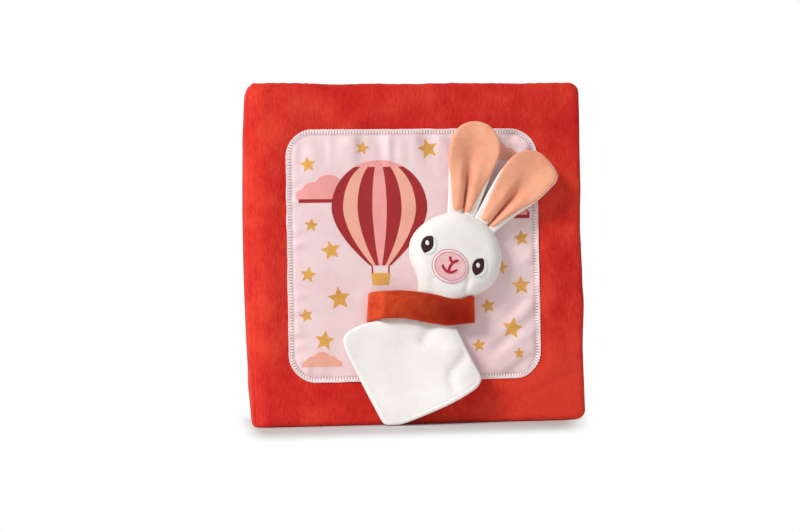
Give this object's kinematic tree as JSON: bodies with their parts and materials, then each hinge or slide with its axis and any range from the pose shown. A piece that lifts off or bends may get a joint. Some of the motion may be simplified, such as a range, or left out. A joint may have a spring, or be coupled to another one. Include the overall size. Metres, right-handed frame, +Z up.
{
  "type": "cloth activity book",
  "caption": "Square padded cloth activity book standing upright, with plush covers hinged on a spine, a printed patch and a plush rabbit held under a strap.",
  "frame": {"origin": "middle of the footprint of the whole book with the rabbit, on the surface it stands on", "axes": "+Z up along the spine, -Y out of the front cover, -X towards the spine"},
  "size_m": [0.2266, 0.059, 0.227],
  "materials": {
    "plush_red": "short cut pile plush",
    "wadding": "soft polyester wadding",
    "lining_cloth": "matte woven cloth",
    "page_cloth": "matte woven cloth",
    "binding_thread": "thread",
    "patch_satin": "smooth satin weave",
    "seam_thread": "thread with a slight sheen",
    "print_dark_red": "printed colour",
    "print_salmon": "printed colour",
    "print_pink": "printed colour",
    "print_gold": "printed colour",
    "strap_velour": "velour",
    "rabbit_plush": "fine white plush",
    "ear_velour": "peach velour",
    "eye_thread": "embroidery thread",
    "glint_thread": "embroidery thread",
    "muzzle_cloth": "brushed cloth",
    "muzzle_thread": "embroidery thread",
    "mouth_thread": "embroidery thread"
  },
  "bodies": {
    "book_block": {"spine_plush": "plush_red", "spine_wadding": "wadding", "spine_lining": "lining_cloth", "pages": "page_cloth", "binding_stitches": "binding_thread"},
    "front_cover": {"front_cover_plush": "plush_red", "front_cover_wadding": "wadding", "front_cover_lining": "lining_cloth", "cover_patch": "patch_satin", "patch_zigzag": "seam_thread", "print_dark_red": "print_dark_red", "print_salmon": "print_salmon", "print_pink": "print_pink", "print_gold": "print_gold", "strap": "strap_velour", "rabbit_body": "rabbit_plush", "rabbit_head": "rabbit_plush", "left_ear": "rabbit_plush", "left_ear_lining": "ear_velour", "right_ear": "rabbit_plush", "right_ear_lining": "ear_velour", "left_eye": "eye_thread", "left_eye_glints": "glint_thread", "right_eye": "eye_thread", "right_eye_glints": "glint_thread", "muzzle_patch": "muzzle_cloth", "muzzle_stitching": "muzzle_thread", "mouth_stitching": "mouth_thread"},
    "back_cover": {"back_cover_plush": "plush_red", "back_cover_wadding": "wadding", "back_cover_lining": "lining_cloth"}
  },
  "joints": [
    {"name": "front_cover_fold", "type": "hinge", "parent": "book_block", "child": "front_cover", "pos_m": [-0.10725, -0.0134, 0.1135], "axis": [0, 0, -1], "range_deg": [0, 180]},
    {"name": "back_cover_fold", "type": "hinge", "parent": "book_block", "child": "back_cover", "pos_m": [-0.10725, 0.03, 0.1135], "axis": [0, 0, 1], "range_deg": [0, 180]}
  ]
}
